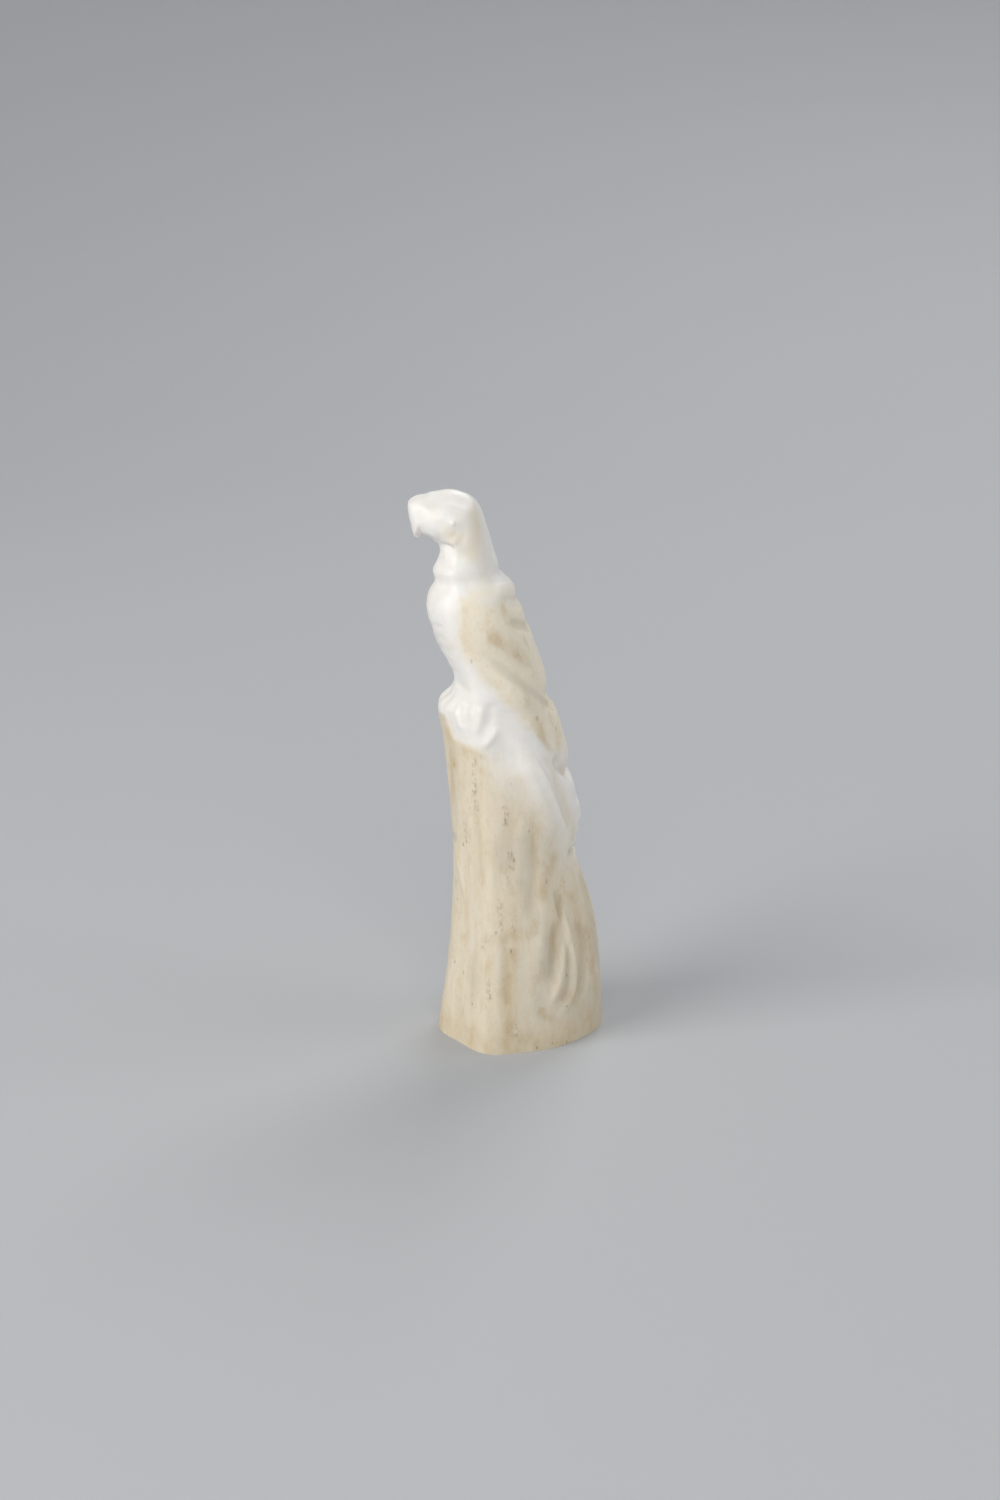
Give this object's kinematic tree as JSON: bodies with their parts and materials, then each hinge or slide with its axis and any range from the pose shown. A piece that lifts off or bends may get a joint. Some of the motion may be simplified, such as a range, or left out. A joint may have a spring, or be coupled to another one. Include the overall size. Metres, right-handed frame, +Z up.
{
  "type": "eagle carving",
  "caption": "An eagle perched on a stump, carved in one piece from a tine of deer antler, standing on its sawn base",
  "frame": {"origin": "the middle of the sawn base, on the surface that the carving stands on", "axes": "+Z up, -X the way the bird faces, +X the side its tail hangs down, -Y the side that the picture shows"},
  "size_m": [0.0331, 0.0254, 0.0947],
  "materials": {
    "antler": "polished antler: near white where it is carved, warm tan and finely pitted where the tine's own surface is left"
  },
  "bodies": {
    "root": {"eagle_carving": "antler"}
  },
  "joints": []
}
